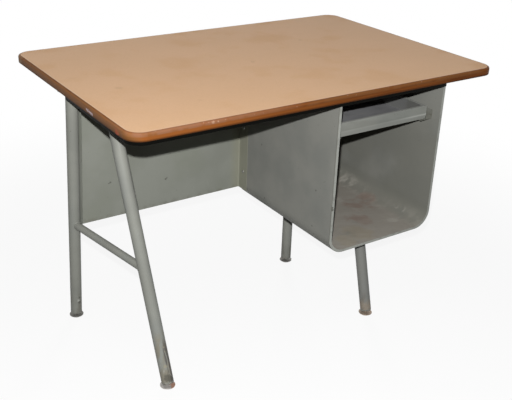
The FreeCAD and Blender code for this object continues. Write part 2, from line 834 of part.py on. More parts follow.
panel_seats = []
wall_x = sheet.top_width / 2 - sheet.right_overhang - sheet.pedestal_width
for centre in centres(wall_holes):
    seat = FreeCAD.Vector(wall_x - sheet.sheet_gauge, centre.x, panel.Placement.Base.z + centre.y)
    panel_seats.append((seat, x_axis))
leg_place = legs["rear_left"].Placement
flange_face = sheet.leg_diameter / 2 + sheet.weld_gap + sheet.sheet_gauge
for centre in centres(leg_holes):
    seat = leg_place.multVec(FreeCAD.Vector(flange_face, centre.x, centre.y))
    panel_seats.append((seat, leg_place.Rotation.multVec(-x_axis)))
screw_group("modesty_screws", tapping_screw, panel_seats)

doc.recompute()
for item in doc.Objects:
    if "Invalid" in item.State or "Error" in item.State:
        raise ValueError(f"{item.Label} did not build: {item.State}")
for item in nodes:
    if item.Shape.isNull() or not item.Shape.isValid():
        raise ValueError(f"{item.Label} has no valid shape")
os.makedirs("parts", exist_ok=True)
for item in nodes:
    item.Shape.exportStep(os.path.join("parts", f"{item.Label}.step"))
    print(item.Label, len(item.Shape.Solids), round(item.Shape.Volume))
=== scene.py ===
import bpy
import math
from mathutils import Matrix, Vector


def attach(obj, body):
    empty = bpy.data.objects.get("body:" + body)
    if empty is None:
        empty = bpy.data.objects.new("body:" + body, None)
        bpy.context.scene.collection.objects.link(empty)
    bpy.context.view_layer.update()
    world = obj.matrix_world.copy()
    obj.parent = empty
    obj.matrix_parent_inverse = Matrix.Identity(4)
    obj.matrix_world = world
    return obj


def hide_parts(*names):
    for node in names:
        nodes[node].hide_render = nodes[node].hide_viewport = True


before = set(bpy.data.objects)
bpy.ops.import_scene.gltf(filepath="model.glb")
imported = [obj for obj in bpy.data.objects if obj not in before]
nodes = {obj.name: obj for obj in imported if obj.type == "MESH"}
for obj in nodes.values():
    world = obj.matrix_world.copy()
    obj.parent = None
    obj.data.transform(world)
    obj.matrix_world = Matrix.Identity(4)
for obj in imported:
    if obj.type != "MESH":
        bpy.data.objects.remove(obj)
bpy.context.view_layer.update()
scene = bpy.context.scene
scene.view_settings.view_transform = "Standard"
axisX, axisY, axisZ = 0, 1, 2
print("frame loaded:", len(nodes), "nodes")


# small helpers

def mm(*values):
    return Vector([value / 1000 for value in values])


def paint(text):
    # sRGB hex to linear, along the standard's own curve
    channels = [int(text[start:start + 2], 16) / 255 for start in (1, 3, 5)]
    linear = [c / 12.92 if c <= 0.04045 else ((c + 0.055) / 1.055) ** 2.4 for c in channels]
    return (*linear, 1.0)


def addNode(tree, kind, inputs=None, **settings):
    node = tree.nodes.new("ShaderNode" + kind)
    for name, value in settings.items():
        setattr(node, name, value)
    for socket, value in (inputs or {}).items():
        if isinstance(value, bpy.types.NodeSocket):
            tree.links.new(value, node.inputs[socket])
        else:
            node.inputs[socket].default_value = value
    return node


def newFinish(name):
    finish = bpy.data.materials.new(name)
    finish.use_nodes = True
    finish.node_tree.nodes.clear()
    where = addNode(finish.node_tree, "TexCoord").outputs["Object"]
    return finish, finish.node_tree, where


def dress(finish, *names):
    for name in names:
        for slot in nodes[name].material_slots:
            slot.material = finish


# patterns shared by the finishes; all but ruffle give a mask from 0 to 1

solidShare = 5 / 9  # share of a mark's radius within which it is solid
mixAmount, mixUnder, mixOver = 0, 6, 7  # sockets of a Mix node that is set to colour


def mottle(tree, where, sizeMm, low, high, stretch=(1, 1, 1), turn=(0, 0, 0), detail=3.0):
    # clouds about sizeMm wide, drawn out along an axis where stretch is below 1
    angles = [math.radians(angle) for angle in turn]
    scales = [share * 1000 / sizeMm for share in stretch]
    turned = addNode(tree, "Mapping", {"Vector": where, "Rotation": angles}).outputs[0]
    spread = addNode(tree, "Mapping", {"Vector": turned, "Scale": scales}).outputs[0]
    cloud = addNode(tree, "TexNoise", {"Vector": spread, "Scale": 1.0, "Detail": detail})
    reach = {"Value": cloud.outputs[0], "From Min": low, "From Max": high}
    return addNode(tree, "MapRange", reach, interpolation_type="SMOOTHSTEP").outputs[0]


def fade(tree, where, axis, startMm, endMm):
    # 0 at startMm and 1 at endMm, along one axis of the desk
    split = addNode(tree, "SeparateXYZ", {0: where})
    reach = {"Value": split.outputs[axis], "From Min": startMm / 1000, "From Max": endMm / 1000}
    return addNode(tree, "MapRange", reach, interpolation_type="SMOOTHSTEP").outputs[0]


def facing(tree, axis, low, high):
    # 0 where the normal's share along the axis is low, 1 where it is high
    normal = addNode(tree, "NewGeometry").outputs["Normal"]
    split = addNode(tree, "SeparateXYZ", {0: normal})
    reach = {"Value": split.outputs[axis], "From Min": low, "From Max": high}
    return addNode(tree, "MapRange", reach).outputs[0]


def ruffle(tree, where, sizeMm, reachMm):
    # pushes the coordinates about by up to reachMm, so that drawn marks get ragged edges
    middle = (0.5, 0.5, 0.5)
    stir = addNode(tree, "TexNoise", {"Vector": where, "Scale": 1000 / sizeMm, "Detail": 2.0})
    level = addNode(tree, "VectorMath", {0: stir.outputs[1], 1: middle}, operation="SUBTRACT")
    pushed = {0: level.outputs[0], "Scale": 2 * reachMm / 1000}
    push = addNode(tree, "VectorMath", pushed, operation="SCALE")
    return addNode(tree, "VectorMath", {0: where, 1: push.outputs[0]}, operation="ADD").outputs[0]


def marksAt(tree, where, spots):
    # dots at places read off the photograph: x, y, z and radius in millimetres
    found = None
    for x, y, z, radius in spots:
        gap = addNode(tree, "VectorMath", {0: where, 1: mm(x, y, z)}, operation="DISTANCE")
        outer = radius / 1000
        reach = {"Value": gap.outputs["Value"], "From Min": outer, "From Max": outer * solidShare}
        dot = addNode(tree, "MapRange", reach, interpolation_type="SMOOTHSTEP").outputs[0]
        if found is not None:
            dot = addNode(tree, "Math", {0: found, 1: dot}, operation="MAXIMUM").outputs[0]
        found = dot
    return found


def meet(tree, *masks):
    # what all the masks share
    shared = masks[0]
    for mask in masks[1:]:
        shared = addNode(tree, "Math", {0: shared, 1: mask}, operation="MULTIPLY").outputs[0]
    return shared


def stack(tree, ground, layers):
    # colours laid one over another: colour, mask and how much of it shows
    color = paint(ground)
    for over, mask, share in layers:
        amount = addNode(tree, "Math", {0: mask, 1: share}, operation="MULTIPLY").outputs[0]
        inputs = {mixAmount: amount, mixUnder: color, mixOver: paint(over)}
        color = addNode(tree, "Mix", inputs, data_type="RGBA").outputs[2]
    return color


def close(tree, color, worn, relief, look, **sockets):
    # principled surface: the look's roughness range follows worn, its relief height follows relief
    smooth, rough = look["roughness"]
    shine = addNode(tree, "MapRange", {"Value": worn, "To Min": smooth, "To Max": rough})
    height = {"Height": relief, "Distance": look["reliefMm"] / 1000, "Strength": 1.0}
    bump = addNode(tree, "Bump", height)
    inputs = {"Base Color": color, "Roughness": shine.outputs[0], "Normal": bump.outputs[0]}
    inputs.update(sockets)
    shader = addNode(tree, "BsdfPrincipled", inputs)
    addNode(tree, "OutputMaterial", {"Surface": shader.outputs[0]})


# top: tan decorative laminate, a printed sheet under clear resin pressed against a satin plate:
# flat colour with faint clouds, a soft wide sheen and fine rub marks from years of use;
# paper fibre is finer than the flecks, which are drawn to show
laminateLook = {
    "tan": "#CFA67E", "pale": "#D3AA83", "dull": "#C9A07C",
    "stain": "#9F7856", "rub": "#D9C4AC", "fleck": "#BA926E",
    "clouds": {"sizeMm": 190, "low": 0.40, "high": 0.66, "stretch": (0.6, 1, 1)},
    "dulls": {"sizeMm": 114, "low": 0.50, "high": 0.72},
    "flecks": {"sizeMm": 3.0, "low": 0.46, "high": 0.66, "detail": 1.0},
    "stains": {"sizeMm": 55, "low": 0.66, "high": 0.76},
    "longRubs": {
        "sizeMm": 7, "low": 0.69, "high": 0.78, "stretch": (0.05, 1, 1), "turn": (0, 0, 14),
    },
    "shortRubs": {
        "sizeMm": 7, "low": 0.70, "high": 0.80, "stretch": (1, 0.08, 1), "turn": (0, 0, -22),
    },
    "raggedMm": (9, 5), "edgeMm": (596, 391), "edgeRubMm": 5,
    "spotsAt": [
        (-476, -63, 760, 13), (-22, -17, 760, 9), (-18, -10, 760, 8), (-337, -250, 760, 6),
        (260, 131, 760, 8),
    ],
    "roughness": (0.48, 0.60), "reliefMm": 0.03, "gloss": 0.25,
}


def tanLaminate(look):
    finish, tree, where = newFinish("satinTanLaminate")
    clouds = mottle(tree, where, **look["clouds"])
    dulls = mottle(tree, where, **look["dulls"])
    flecks = mottle(tree, where, **look["flecks"])
    stains = mottle(tree, where, **look["stains"])
    longRubs = mottle(tree, where, **look["longRubs"])
    shortRubs = mottle(tree, where, **look["shortRubs"])
    ragged = ruffle(tree, where, *look["raggedMm"])
    spots = marksAt(tree, ragged, look["spotsAt"])
    edge = None
    for axis in (axisX, axisY):
        outer = look["edgeMm"][axis]
        inner = outer - look["edgeRubMm"]
        for side in (1, -1):
            end = fade(tree, where, axis, side * inner, side * outer)
            if edge is not None:
                end = addNode(tree, "Math", {0: edge, 1: end}, operation="MAXIMUM").outputs[0]
            edge = end
    color = stack(tree, look["tan"], [
        (look["pale"], clouds, 0.5),
        (look["dull"], dulls, 0.22),
        (look["fleck"], flecks, 0.22),
        (look["stain"], stains, 0.06),
        (look["stain"], spots, 0.20),
        (look["rub"], longRubs, 0.14),
        (look["rub"], shortRubs, 0.10),
        (look["rub"], edge, 0.30),
    ])
    close(tree, color, dulls, flecks, look, **{"Specular IOR Level": look["gloss"]})
    return finish


# edge: hardwood lipping under varnish: grain runs along the edge, and hands and sleeves have worn
# the rounded upper arris down to dull pinkish wood, with pale nicks; its lowest few millimetres
# carry painted shade, and the left side darkens towards its lower edge
edgeLook = {
    "deep": "#582E11", "mid": "#78441C", "light": "#8B542A", "bright": "#895025",
    "worn": "#865D45", "tired": "#765030", "faded": "#895E37", "lowerLeftDark": "#462C15",
    "rubbed": "#987E5F", "nick": "#C8A992", "dent": "#422511", "under": "#371E0D",
    "chip": "#C9BCC2", "red": "#A64C34",
    "grainMm": 1.9, "figureMm": 5.7, "grainRunMm": 150,
    "grains": {"low": 0.34, "high": 0.62, "detail": 5.0},
    "figures": {"low": 0.45, "high": 0.70},
    "patches": {"sizeMm": 210, "low": 0.38, "high": 0.62},
    "wears": {"sizeMm": 34, "low": 0.26, "high": 0.52},
    "tires": {"sizeMm": 60, "low": 0.30, "high": 0.56},
    "nicks": {"sizeMm": 8, "low": 0.70, "high": 0.75},
    "dents": {"sizeMm": 11, "low": 0.71, "high": 0.75},
    "arrisMm": (748.5, 753.0), "nickedMm": (748, 755), "lowerLeftDarkMm": (753, 745),
    "underMm": (745, 738.6), "leftMm": (0, -460), "frontMm": (-300, -396), "wornMm": (-250, -380),
    "leftFacing": (-0.3, -0.8), "raggedMm": (5, 3),
    "rubbedAt": [(-596, 388, 754, 40), (-603, 350, 756, 26)],
    "redAt": [(-603, -322, 745, 9), (-600, -330, 744, 7)],
    "nickedAt": [(-386, -400, 757, 6), (-372, -400, 756, 4), (-352, -400, 757, 4)],
    "chippedAt": [
        (-603, -147, 747.4, 4), (-603, -155, 746.6, 4.6), (-603, -164, 745.8, 4.6),
        (-603, -173, 745, 4.6), (-603, -181, 744.4, 4),
    ],
    "roughness": (0.50, 0.65), "reliefMm": 0.12, "gloss": 0.06,
}


def varnishedEdge(look):
    finish, tree, where = newFinish("varnishedHardwoodEdge")
    run = look["grainMm"] / look["grainRunMm"]
    drawn = (run, run, 1)
    grain = mottle(tree, where, look["grainMm"], stretch=drawn, **look["grains"])
    figure = mottle(tree, where, look["figureMm"], stretch=drawn, **look["figures"])
    patches = mottle(tree, where, **look["patches"])
    arris = fade(tree, where, axisZ, *look["arrisMm"])
    wear = mottle(tree, where, **look["wears"])
    nearLeft = fade(tree, where, axisX, *look["leftMm"])
    frontSide = fade(tree, where, axisY, *look["frontMm"])
    worn = meet(tree, arris, wear, nearLeft, fade(tree, where, axisY, *look["wornMm"]))
    leftSide = facing(tree, axisX, *look["leftFacing"])
    tired = meet(tree, arris, mottle(tree, where, **look["tires"]))
    nicked = fade(tree, where, axisZ, *look["nickedMm"])
    nicks = meet(tree, nicked, mottle(tree, where, **look["nicks"]))
    dents = mottle(tree, where, **look["dents"])
    nearCorner = meet(tree, nearLeft, frontSide)
    lowerLeftDark = meet(tree, leftSide, fade(tree, where, axisZ, *look["lowerLeftDarkMm"]))
    under = fade(tree, where, axisZ, *look["underMm"])
    ragged = ruffle(tree, where, *look["raggedMm"])
    color = stack(tree, look["deep"], [
        (look["mid"], grain, 0.80),
        (look["light"], figure, 0.30),
        (look["deep"], patches, 0.35),
        (look["bright"], nearCorner, 0.75),
        (look["faded"], leftSide, 0.70),
        # the left side darker towards its lower edge
        (look["lowerLeftDark"], lowerLeftDark, 0.45),
        (look["rubbed"], marksAt(tree, ragged, look["rubbedAt"]), 0.60),
        (look["tired"], tired, 0.55),
        (look["worn"], worn, 0.80),
        # painted shade along the lowest few millimetres of the edge, where the round turns from the
        # light
        (look["under"], under, 0.85),
        (look["dent"], dents, 0.55),
        (look["nick"], nicks, 0.45),
        (look["red"], marksAt(tree, ragged, look["redAt"]), 0.60),
        (look["nick"], marksAt(tree, ragged, look["nickedAt"]), 0.35),
        (look["chip"], marksAt(tree, ragged, look["chippedAt"]), 0.92),
    ])
    close(tree, color, worn, grain, look, **{"Specular IOR Level": look["gloss"]})
    return finish


# painted steel: stoved grey enamel sprayed over sheet and tube: a faint orange-peel skin, tone that
# drifts over a hand's width, rubbed streaks, dark chips, and dust or grime where it gathers
enamelLook = {
    "grime": "#53493B", "spot": "#4C4B44", "haze": "#72726A", "dustPale": "#A7A39A",
    "tones": {"sizeMm": 130, "low": 0.36, "high": 0.66},
    "peel": {"sizeMm": 3.2, "low": 0.30, "high": 0.70, "detail": 1.0},
    "streaks": {
        "sizeMm": 10, "low": 0.64, "high": 0.78, "stretch": (1, 1, 0.10), "turn": (12, 8, 0),
    },
    "chips": {"sizeMm": 6, "low": 0.745, "high": 0.765, "detail": 2.0},
    "roughness": (0.46, 0.58), "reliefMm": 0.04,
}


def stovedEnamel(name, look, own, wear):
    finish, tree, where = newFinish(name)
    coat = own["coat"]
    tones = mottle(tree, where, **look["tones"])
    peel = mottle(tree, where, **look["peel"])
    streaks = mottle(tree, where, **look["streaks"])
    chips = mottle(tree, where, **look["chips"])
    layers = [
        (coat["tone"], tones, 0.9),
        (coat["streak"], streaks, 0.25),
        (coat["chip"], chips, 0.60),
    ]
    color = stack(tree, coat["paint"], layers + wear(tree, where, look, own))
    close(tree, color, tones, peel, look, **{"Specular IOR Level": coat["gloss"]})
    return finish


# modesty panel and plain sheet: greenish drifts, a yellowed flange at the wall, grime low down
panelLook = {
    "coat": {
        "paint": "#898B83", "tone": "#82847C", "streak": "#94968E", "chip": "#423F35",
        "gloss": 0.05,
    },
    "green": "#818576", "yellowed": "#8B8972",
    "greens": {"sizeMm": 260, "low": 0.42, "high": 0.62},
    "grimes": {"sizeMm": 25, "low": 0.42, "high": 0.62},
    "lowEdgeMm": (318, 302), "nearWallMm": (-30, 8), "flangeMm": (110, 100), "raggedMm": (7, 4),
    "spotsAt": [(-443, 101, 416, 4), (-448, 101, 414, 3), (-257, 101, 386, 4), (-254, 101, 390, 3)],
}


def panelWear(tree, where, look, own):
    ragged = ruffle(tree, where, *own["raggedMm"])
    lowEdge = fade(tree, where, axisZ, *own["lowEdgeMm"])
    grimy = meet(tree, lowEdge, mottle(tree, where, **own["grimes"]))
    greens = mottle(tree, where, **own["greens"])
    nearWall = fade(tree, where, axisX, *own["nearWallMm"])
    flange = meet(tree, nearWall, fade(tree, where, axisY, *own["flangeMm"]))
    return [
        (own["green"], greens, 0.35),
        (own["yellowed"], flange, 0.40),
        (look["grime"], grimy, 0.25),
        (look["spot"], marksAt(tree, ragged, own["spotsAt"]), 0.65),
    ]


# pedestal: dust lies on the floor inside and thins out up the rounded corners
pedestalLook = {
    "coat": {
        "paint": "#878781", "tone": "#7E7F7A", "streak": "#92938C", "chip": "#3E3B34",
        "gloss": 0.05,
    },
    "dust": "#989289", "dustRed": "#877267", "dustTan": "#958B77", "hem": "#A7A9A3",
    "dusts": {"sizeMm": 90, "low": 0.20, "high": 0.50},
    "wisps": {
        "sizeMm": 26, "low": 0.44, "high": 0.66, "stretch": (0.45, 1, 1), "turn": (0, 0, 24),
    },
    "reds": {"sizeMm": 40, "low": 0.34, "high": 0.60},
    "hazes": {"sizeMm": 160, "low": 0.20, "high": 0.50},
    "hems": {"sizeMm": 20, "low": 0.20, "high": 0.50},
    "floorFacing": (0.25, 0.95), "insideFacing": (-0.4, -0.9), "insideMm": (380, 405),
    "hazeMm": (700, 520), "cornerSideMm": (350, 388), "cornerLowMm": (350, 300),
    "hemMm": (-383.4, -384.8), "bendFrontMm": (-381.4, -383.2), "bendSideMm": (17.5, 15.4),
    "stirredMm": (45, 34), "raggedMm": (7, 4),
    "paleAt": [
        (398, 8, 286, 42), (392, -32, 280, 34), (280, -108, 271, 24), (396, -280, 279, 30),
        (330, -300, 271, 26),
    ],
    "redAt": [(316, -166, 271, 62), (366, -140, 272, 44), (250, -240, 271, 50)],
    "tanAt": [(186, -320, 271, 60), (120, -340, 275, 40)],
    "kinkAt": [(18, -385, 418, 5), (17, -385, 425, 4)],
    "spotsAt": [
        (15, -25, 493, 4), (15, -307, 449, 4), (15, -51, 319, 4), (15, -51, 311, 3),
        (15, -300, 330, 3),
    ],
}


def pedestalWear(tree, where, look, own):
    floor = facing(tree, axisZ, *own["floorFacing"])
    dusty = meet(tree, floor, mottle(tree, where, **own["dusts"]))
    wisps = mottle(tree, where, **own["wisps"])
    stirred = ruffle(tree, where, *own["stirredMm"])
    pale = meet(tree, floor, wisps, marksAt(tree, stirred, own["paleAt"]))
    reds = mottle(tree, where, **own["reds"])
    red = meet(tree, floor, reds, marksAt(tree, stirred, own["redAt"]))
    tan = meet(tree, floor, marksAt(tree, stirred, own["tanAt"]))
    inward = facing(tree, axisX, *own["insideFacing"])
    inside = meet(tree, inward, fade(tree, where, axisX, *own["insideMm"]))
    upper = fade(tree, where, axisZ, *own["hazeMm"])
    haze = meet(tree, inside, upper, mottle(tree, where, **own["hazes"]))
    cornerSide = fade(tree, where, axisX, *own["cornerSideMm"])
    corner = meet(tree, cornerSide, fade(tree, where, axisZ, *own["cornerLowMm"]))
    hemFront = fade(tree, where, axisY, *own["hemMm"])
    hem = meet(tree, hemFront, mottle(tree, where, **own["hems"]))
    bendFront = fade(tree, where, axisY, *own["bendFrontMm"])
    bend = meet(tree, bendFront, fade(tree, where, axisX, *own["bendSideMm"]))
    ragged = ruffle(tree, where, *own["raggedMm"])
    return [
        (look["haze"], haze, 0.60),
        (own["dust"], dusty, 0.85),
        (look["haze"], corner, 0.75),
        (own["dustTan"], tan, 0.45),
        (own["dustRed"], red, 0.55),
        (look["dustPale"], pale, 0.80),
        (look["dustPale"], meet(tree, floor, wisps), 0.22),
        (own["hem"], hem, 0.70),
        (look["spot"], bend, 0.55),
        (look["spot"], marksAt(tree, where, own["kinkAt"]), 0.75),
        (look["spot"], marksAt(tree, ragged, own["spotsAt"]), 0.65),
    ]


# tray: the pan's walls carry painted shade and its floor is paler, smudged by pencils and ink; the
# rim and the tucked lip are painted lighter as painted light, and the skirt's crease carries a
# painted highlight
trayLook = {
    "coat": {
        "paint": "#82837D", "tone": "#7A7C77", "streak": "#92948F", "chip": "#3E3B35",
        "gloss": 0.06,
    },
    "panWall": "#5B5B5C", "panFloor": "#929294", "panDark": "#4E4E47", "rim": "#A3A49F",
    "lip": "#969892", "rubbed": "#9FA29C", "creaseHighlight": "#B6B8B2", "creaseEndHighlight": "#C1C3BD",
    "smudges": {"sizeMm": 45, "low": 0.40, "high": 0.62, "stretch": (0.5, 1, 1)},
    "scrapes": {"sizeMm": 9, "low": 0.62, "high": 0.74, "stretch": (0.08, 1, 1)},
    "rubs": {"sizeMm": 30, "low": 0.36, "high": 0.62, "stretch": (0.25, 1, 1)},
    "panLeftMm": (47, 49), "panRightMm": (380, 378), "panFrontMm": (-339, -337),
    "panTopMm": (656.9, 655.5), "rimMm": (655.5, 656.8), "rimFacing": (0.6, 0.9),
    "flatFacing": (0.90, 0.99), "frontMm": (-338, -341), "lipMm": (631, 627),
    "creaseLowMm": (626.5, 630.5), "creaseHighMm": (635, 631), "creaseEndMm": (250, 350),
    "stirredMm": (20, 12), "darkAt": [(372, -300, 634, 44)],
}


def trayWear(tree, where, look, own):
    panLeft = fade(tree, where, axisX, *own["panLeftMm"])
    between = meet(tree, panLeft, fade(tree, where, axisX, *own["panRightMm"]))
    panFront = fade(tree, where, axisY, *own["panFrontMm"])
    pan = meet(tree, between, panFront, fade(tree, where, axisZ, *own["panTopMm"]))
    upward = facing(tree, axisZ, *own["rimFacing"])
    rim = meet(tree, upward, fade(tree, where, axisZ, *own["rimMm"]))
    flat = meet(tree, pan, facing(tree, axisZ, *own["flatFacing"]))
    smudges = meet(tree, flat, mottle(tree, where, **own["smudges"]))
    scrapes = meet(tree, flat, mottle(tree, where, **own["scrapes"]))
    stirred = ruffle(tree, where, *own["stirredMm"])
    dark = meet(tree, pan, marksAt(tree, stirred, own["darkAt"]))
    front = fade(tree, where, axisY, *own["frontMm"])
    creaseLow = fade(tree, where, axisZ, *own["creaseLowMm"])
    creaseHighlight = meet(tree, front, creaseLow, fade(tree, where, axisZ, *own["creaseHighMm"]))
    creaseEndHighlight = meet(tree, creaseHighlight, fade(tree, where, axisX, *own["creaseEndMm"]))
    lip = meet(tree, front, fade(tree, where, axisZ, *own["lipMm"]))
    rubbed = meet(tree, front, mottle(tree, where, **own["rubs"]))
    return [
        # the pan's walls painted dark: painted shade, so that they show no brighter than its floor;
        # the same dark colour makes the floor's smudges
        (own["panWall"], pan, 0.75),
        (own["panFloor"], flat, 0.80),
        (own["panWall"], smudges, 0.25),
        (look["dustPale"], scrapes, 0.35),
        # a dark patch at the pan's front right corner
        (own["panDark"], dark, 0.40),
        # the rim's top painted lighter: painted light, where it catches less lamp light than the
        # walls
        (own["rim"], rim, 0.80),
        # the tucked lower lip painted lighter: painted light, as it faces a little down
        (own["lip"], lip, 0.55),
        (own["rubbed"], rubbed, 0.25),
        # a painted highlight along the skirt's crease, strongest towards the right end
        (own["creaseHighlight"], creaseHighlight, 0.22),
        (own["creaseEndHighlight"], creaseEndHighlight, 0.50),
    ]


# runners: greasy, and scuffed where the tray slides
runnerLook = {
    "coat": trayLook["coat"],
    "greases": {"sizeMm": 40, "low": 0.25, "high": 0.60},
    "scuffs": {"sizeMm": 16, "low": 0.52, "high": 0.70, "stretch": (1, 0.2, 1)},
}


def runnerWear(tree, where, look, own):
    return [
        (look["haze"], mottle(tree, where, **own["greases"]), 0.85),
        (look["grime"], mottle(tree, where, **own["scuffs"]), 0.25),
    ]


# legs: kicked and splashed low down; the front left one is scraped, the front right one muddy
legLook = {
    "coat": {
        "paint": "#868780", "tone": "#7D7E78", "streak": "#969791", "chip": "#3B352C",
        "gloss": 0.15,
    },
    "sheen": "#808483", "shaded": "#71716F", "splash": "#7D7768", "mud": "#928473",
    "scrape": "#4A4543", "flake": "#918C7A", "bare": "#ADAEA8",
    "kicks": {"sizeMm": 16, "low": 0.50, "high": 0.66, "stretch": (1, 1, 0.35)},
    "smears": {"sizeMm": 14, "low": 0.36, "high": 0.58, "stretch": (1, 1, 0.25)},
    "muds": {"sizeMm": 14, "low": 0.30, "high": 0.46},
    "scrapes": {
        "sizeMm": 6, "low": 0.40, "high": 0.52, "stretch": (1, 1, 0.10), "turn": (16, 3, 0),
    },
    "bares": {"sizeMm": 7, "low": 0.68, "high": 0.75, "stretch": (1, 1, 0.15)},
    "sheens": {"sizeMm": 60, "low": 0.45, "high": 0.70, "stretch": (1, 1, 0.2)},
    "kickedMm": (120, 30), "baredMm": (260, 60), "scrapedMm": (160, 110),
    "scrapedFacing": (-0.25, 0), "scrapedLeftMm": (-470, -480), "scrapedFrontMm": (-310, -330),
    "shadedRightMm": (150, 190), "shadedFrontMm": (-150, -260),
    "raggedMm": (18, 14), "nearbyMm": (6, 4),
    "splashAt": [(-503, -364, 95, 85), (-503, -372, 40, 40)],
    "mudAt": [(204, -365, 10, 52)],
    "wornAt": [(-511, -380, 37, 15), (-503, -382, 34, 14), (-576, 70, 54, 7), (-577, 70, 72, 4)],
    "baredAt": [(-580, 69, 62, 5)],
    "flakedAt": [(-506, -351, 121, 3.5), (-505, -354, 108, 3), (-510, -365, 68, 6)],
}


def legWear(tree, where, look, own):
    ragged = ruffle(tree, where, *own["raggedMm"])
    nearby = ruffle(tree, where, *own["nearbyMm"])
    low = fade(tree, where, axisZ, *own["kickedMm"])
    kicked = meet(tree, low, mottle(tree, where, **own["kicks"]))
    smears = mottle(tree, where, **own["smears"])
    splash = meet(tree, marksAt(tree, ragged, own["splashAt"]), smears)
    mud = meet(tree, marksAt(tree, ragged, own["mudAt"]), mottle(tree, where, **own["muds"]))
    scrapedLeft = fade(tree, where, axisX, *own["scrapedLeftMm"])
    frontLeft = meet(tree, scrapedLeft, fade(tree, where, axisY, *own["scrapedFrontMm"]))
    scrapes = mottle(tree, where, **own["scrapes"])
    rightward = facing(tree, axisX, *own["scrapedFacing"])
    scrapedLow = fade(tree, ragged, axisZ, *own["scrapedMm"])
    scraped = meet(tree, frontLeft, rightward, scrapedLow, scrapes)
    baredLow = fade(tree, where, axisZ, *own["baredMm"])
    bared = meet(tree, baredLow, mottle(tree, where, **own["bares"]))
    shadedRight = fade(tree, where, axisX, *own["shadedRightMm"])
    frontRight = meet(tree, shadedRight, fade(tree, where, axisY, *own["shadedFrontMm"]))
    return [
        (own["sheen"], mottle(tree, where, **own["sheens"]), 0.25),
        (own["shaded"], frontRight, 0.60),
        (own["splash"], splash, 0.70),
        (own["mud"], mud, 0.60),
        (look["grime"], kicked, 0.35),
        (own["scrape"], scraped, 0.80),
        (own["flake"], marksAt(tree, nearby, own["flakedAt"]), 0.70),
        (look["spot"], marksAt(tree, nearby, own["wornAt"]), 0.70),
        (own["bare"], marksAt(tree, nearby, own["baredAt"]), 0.85),
        (own["bare"], bared, 0.45),
    ]


# glides: nickel-plated pressed steel, dulled by the floor; one of the front ones has gone brown
# and one of the rear ones dark
glideLook = {
    "plate": "#8D8B86", "dark": "#413F3A", "rust": "#875435", "pale": "#BFBBB7", "brown": "#AD9A88",
    "pits": {"sizeMm": 4, "low": 0.42, "high": 0.62},
    "films": {"sizeMm": 14, "low": 0.36, "high": 0.62},
    "lowRimMm": (3.2, 0.6), "rearMm": (-120, -20), "raggedMm": (6, 4),
    "grooveLowMm": (7.4, 8.6), "grooveHighMm": (11.4, 10.2),
    "darkAt": [(-581, 90, 6, 44)], "brownAt": [(204, -365, 5, 44)], "paleAt": [(-503, -364, 8, 46)],
    "rustAt": [(-490, -376, 1, 15), (-497, -385, 1, 9)],
    "metalPlate": 0.55, "metalRust": 0.05, "roughness": (0.38, 0.62), "reliefMm": 0.10,
}


def agedNickel(look):
    finish, tree, where = newFinish("agedNickelPlate")
    pits = mottle(tree, where, **look["pits"])
    film = mottle(tree, where, **look["films"])
    lowRim = fade(tree, where, axisZ, *look["lowRimMm"])
    ragged = ruffle(tree, where, *look["raggedMm"])
    rear = fade(tree, where, axisY, *look["rearMm"])
    grooveLow = fade(tree, where, axisZ, *look["grooveLowMm"])
    groove = meet(tree, rear, grooveLow, fade(tree, where, axisZ, *look["grooveHighMm"]))
    rust = marksAt(tree, ragged, look["rustAt"])
    color = stack(tree, look["plate"], [
        (look["dark"], marksAt(tree, where, look["darkAt"]), 0.30),
        (look["dark"], pits, 0.25),
        (look["brown"], marksAt(tree, where, look["brownAt"]), 0.80),
        (look["pale"], marksAt(tree, where, look["paleAt"]), 0.75),
        (look["dark"], groove, 0.75),
        (look["pale"], lowRim, 0.45),
        (look["rust"], rust, 0.80),
    ])
    metal = {"Value": rust, "To Min": look["metalPlate"], "To Max": look["metalRust"]}
    plated = addNode(tree, "MapRange", metal)
    close(tree, color, film, pits, look, Metallic=plated.outputs[0])
    return finish


# collars: grey moulded nylon, scuffed paler round the rim
nylonLook = {
    "grey": "#6A6B65", "scuff": "#99978E", "dirt": "#513F32",
    "grains": {"sizeMm": 2.0, "low": 0.30, "high": 0.70},
    "scuffs": {"sizeMm": 7, "low": 0.48, "high": 0.66, "stretch": (1, 1, 0.5)},
    "dirts": {"sizeMm": 11, "low": 0.40, "high": 0.62},
    "dirtMm": (24, 10), "roughness": (0.45, 0.70), "reliefMm": 0.06, "ior": 1.53,
}


def scuffedNylon(look):
    finish, tree, where = newFinish("scuffedGreyNylon")
    grain = mottle(tree, where, **look["grains"])
    scuffs = mottle(tree, where, **look["scuffs"])
    low = fade(tree, where, axisZ, *look["dirtMm"])
    dirt = meet(tree, low, mottle(tree, where, **look["dirts"]))
    color = stack(tree, look["grey"], [(look["scuff"], scuffs, 0.55), (look["dirt"], dirt, 0.70)])
    close(tree, color, scuffs, grain, look, IOR=look["ior"])
    return finish


# screws and clips: zinc plate gone dull, with a little brown in the corners
zincLook = {
    "zinc": "#858582", "bright": "#ACACA6", "brown": "#664A35",
    "spangles": {"sizeMm": 2.6, "low": 0.36, "high": 0.64},
    "browns": {"sizeMm": 5, "low": 0.58, "high": 0.72},
    "metal": 0.85, "roughness": (0.32, 0.50), "reliefMm": 0.05,
}


def dullZinc(look):
    finish, tree, where = newFinish("dullZincPlate")
    spangle = mottle(tree, where, **look["spangles"])
    brown = mottle(tree, where, **look["browns"])
    layers = [(look["bright"], spangle, 0.5), (look["brown"], brown, 0.45)]
    close(tree, stack(tree, look["zinc"], layers), spangle, brown, look, Metallic=look["metal"])
    return finish


